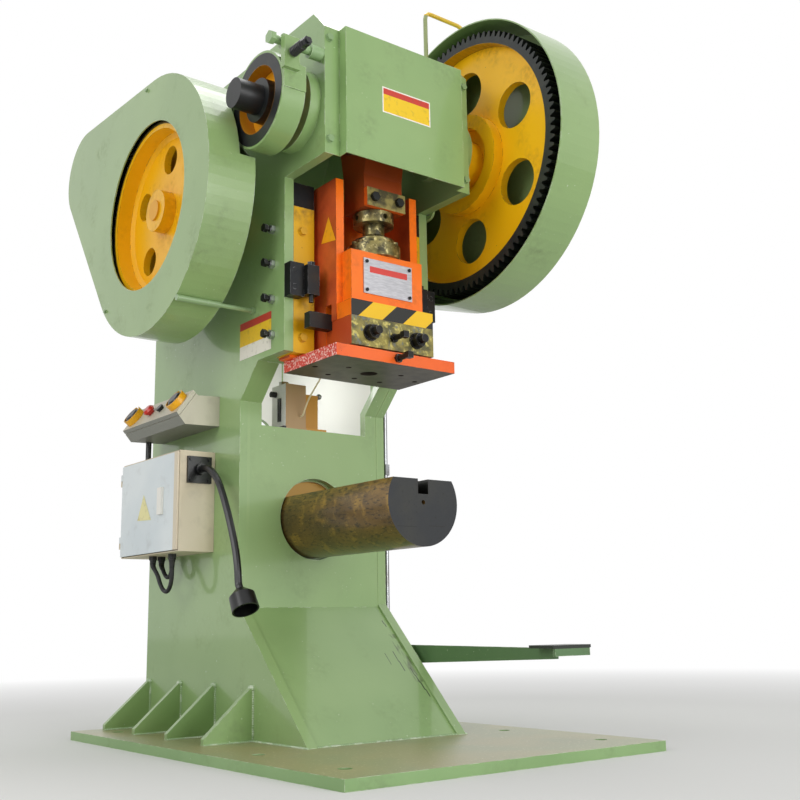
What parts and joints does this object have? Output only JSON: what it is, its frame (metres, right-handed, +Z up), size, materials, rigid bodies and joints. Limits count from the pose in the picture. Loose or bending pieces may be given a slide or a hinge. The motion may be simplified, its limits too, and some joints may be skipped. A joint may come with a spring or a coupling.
{
  "type": "mechanical stamping press",
  "caption": "Floor-standing C-frame press: geared crank and ram over a round horn, with flywheel, brake, guards, control console and foot pedal.",
  "frame": {"origin": "centre of the underside of the base plate", "axes": "+X to the press's right, +Y to its back, +Z up"},
  "size_m": [1.018, 1.679, 2.292],
  "materials": {
    "green_enamel": "semi-gloss",
    "orange_enamel": "gloss",
    "yellow_enamel": "semi-gloss",
    "black_oxide": "oiled",
    "oiled_cast_iron": "greasy, turned",
    "ground_steel": "ground",
    "bronze": "turned",
    "copper_tube": "drawn",
    "grey_enamel": "satin",
    "bare_plate": "satin",
    "belt_rubber": "matt",
    "cream_enamel": "powder coat",
    "pale_enamel": "powder coat",
    "black_plastic": "moulded",
    "red_plastic": "moulded"
  },
  "bodies": {
    "frame": {"base_plate": "green_enamel", "left_side_plate": "green_enamel", "right_side_plate": "green_enamel", "column_plate": "green_enamel", "slope_plate": "green_enamel", "rear_plate": "green_enamel", "head_plate": "green_enamel", "slide_bed": "green_enamel", "gussets": "green_enamel", "horn": "oiled_cast_iron", "bearing_housings": "green_enamel", "bearing_bushes": "bronze", "crank_cover": "green_enamel", "frame_bolts": "black_oxide", "gibs": "yellow_enamel", "gib_caps": "black_oxide", "belt_guard": "green_enamel", "guard_stays": "green_enamel", "gear_guard": "green_enamel", "knockout_brackets": "green_enamel", "lubricator": "cream_enamel", "oil_pipe": "copper_tube", "motor": "grey_enamel", "drive_belts": "belt_rubber", "brake_strap": "green_enamel", "brake_anchor": "green_enamel", "cabinet": "cream_enamel", "near_cable": "belt_rubber", "far_cable": "belt_rubber", "console": "green_enamel", "button_guards": "yellow_enamel", "console_conduit": "black_plastic", "lamp_neck": "belt_rubber", "lamp_head": "black_plastic", "lever_pivots": "ground_steel"},
    "crank": {"crankshaft": "ground_steel", "brake_drum": "black_oxide"},
    "rod": {"connecting_rod": "orange_enamel", "rod_cap": "orange_enamel", "ball_retainer": "black_oxide"},
    "screw": {"adjusting_screw": "oiled_cast_iron"},
    "ram": {"ram": "orange_enamel", "ram_plate": "orange_enamel", "shank_clamp": "oiled_cast_iron", "clamp_studs": "black_oxide", "ram_cover": "bare_plate"},
    "knockout": {"knockout_bar": "black_oxide"},
    "gear": {"bull_gear": "yellow_enamel"},
    "drive_shaft": {"pinion_shaft": "ground_steel", "flywheel": "yellow_enamel"},
    "rotor": {"motor_pulley": "black_oxide"},
    "door": {"cabinet_door": "pale_enamel"},
    "palm_left": {"left_palm_button": "black_plastic"},
    "palm_right": {"right_palm_button": "black_plastic"},
    "stop": {"stop_button": "red_plastic"},
    "start": {"start_button": "black_plastic"},
    "pedal": {"pedal": "green_enamel"},
    "pull": {"pull_rod": "ground_steel"},
    "trip": {"trip_lever": "green_enamel"},
    "pump_lever": {"lubricator_lever": "ground_steel"}
  },
  "joints": [
    {"name": "crank_turn", "type": "hinge", "parent": "frame", "child": "crank", "pos_m": [0, -0.18, 1.768], "axis": [1, 0, 0], "range_deg": [0, 180]},
    {"name": "rod_swing", "type": "hinge", "parent": "crank", "child": "rod", "pos_m": [0, -0.18, 1.812], "axis": [1, 0, 0], "range_deg": [-180, 0]},
    {"name": "screw_turn", "type": "hinge", "parent": "rod", "child": "screw", "pos_m": [0, -0.18, 1.42], "axis": [0, 0, 1], "range_deg": [-180, 180]},
    {"name": "ram_slide", "type": "slide", "parent": "frame", "child": "ram", "axis": [0, 0, -1], "range_m": [0, 0.1006]},
    {"name": "knockout_lift", "type": "slide", "parent": "ram", "child": "knockout", "axis": [0, 0, 1], "range_m": [0, 0.03]},
    {"name": "gear_spin", "type": "hinge", "parent": "frame", "child": "gear", "pos_m": [0.395, -0.18, 1.768], "axis": [1, 0, 0], "continuous": true},
    {"name": "flywheel_spin", "type": "hinge", "parent": "frame", "child": "drive_shaft", "pos_m": [0, 0.285, 1.5736], "axis": [1, 0, 0], "continuous": true},
    {"name": "rotor_spin", "type": "hinge", "parent": "frame", "child": "rotor", "pos_m": [-0.43, 0.793, 1.862], "axis": [1, 0, 0], "continuous": true},
    {"name": "door_swing", "type": "hinge", "parent": "frame", "child": "door", "pos_m": [-0.378, 0.694, 0.698], "axis": [0, 0, -1], "range_deg": [0, 110]},
    {"name": "left_palm_press", "type": "slide", "parent": "frame", "child": "palm_left", "axis": [0.8053, 0, -0.5928], "range_m": [0, 0.006], "stiffness_N_per_m": 400, "springref_m": -0.004},
    {"name": "right_palm_press", "type": "slide", "parent": "frame", "child": "palm_right", "axis": [0.8053, 0, -0.5928], "range_m": [0, 0.006], "stiffness_N_per_m": 400, "springref_m": -0.004},
    {"name": "stop_press", "type": "slide", "parent": "frame", "child": "stop", "axis": [0.8053, 0, -0.5928], "range_m": [0, 0.004], "stiffness_N_per_m": 400, "springref_m": -0.004},
    {"name": "start_press", "type": "slide", "parent": "frame", "child": "start", "axis": [0.8053, 0, -0.5928], "range_m": [0, 0.003], "stiffness_N_per_m": 400, "springref_m": -0.004},
    {"name": "pedal_press", "type": "hinge", "parent": "frame", "child": "pedal", "pos_m": [0.298, 0.26, 0.239], "axis": [1, 0, 0], "range_deg": [0, 6], "stiffness_Nm_per_rad": 300, "springref_deg": -6.88},
    {"name": "pull_slide", "type": "slide", "parent": "frame", "child": "pull", "axis": [0, 0, -1], "range_m": [0, 0.0112]},
    {"name": "trip_swing", "type": "hinge", "parent": "frame", "child": "trip", "pos_m": [0.268, -0.115, 1.605], "axis": [1, 0, 0], "range_deg": [-2.6, 0]},
    {"name": "pump_stroke", "type": "hinge", "parent": "frame", "child": "pump_lever", "pos_m": [0, 0.19, 0.978], "axis": [0, 1, 0], "range_deg": [0, 40], "stiffness_Nm_per_rad": 1, "springref_deg": -28.65}
  ],
  "couplings": [
    {"joint": "rod_swing", "follows": "crank_turn", "ratio": -1},
    {"joint": "ram_slide", "follows": "crank_turn", "m_per_rad": 0.032},
    {"joint": "flywheel_spin", "follows": "gear_spin", "ratio": -4.7273},
    {"joint": "rotor_spin", "follows": "gear_spin", "ratio": -17.018},
    {"joint": "pull_slide", "follows": "pedal_press", "m_per_rad": 0.105},
    {"joint": "trip_swing", "follows": "pedal_press", "ratio": -0.38889}
  ]
}
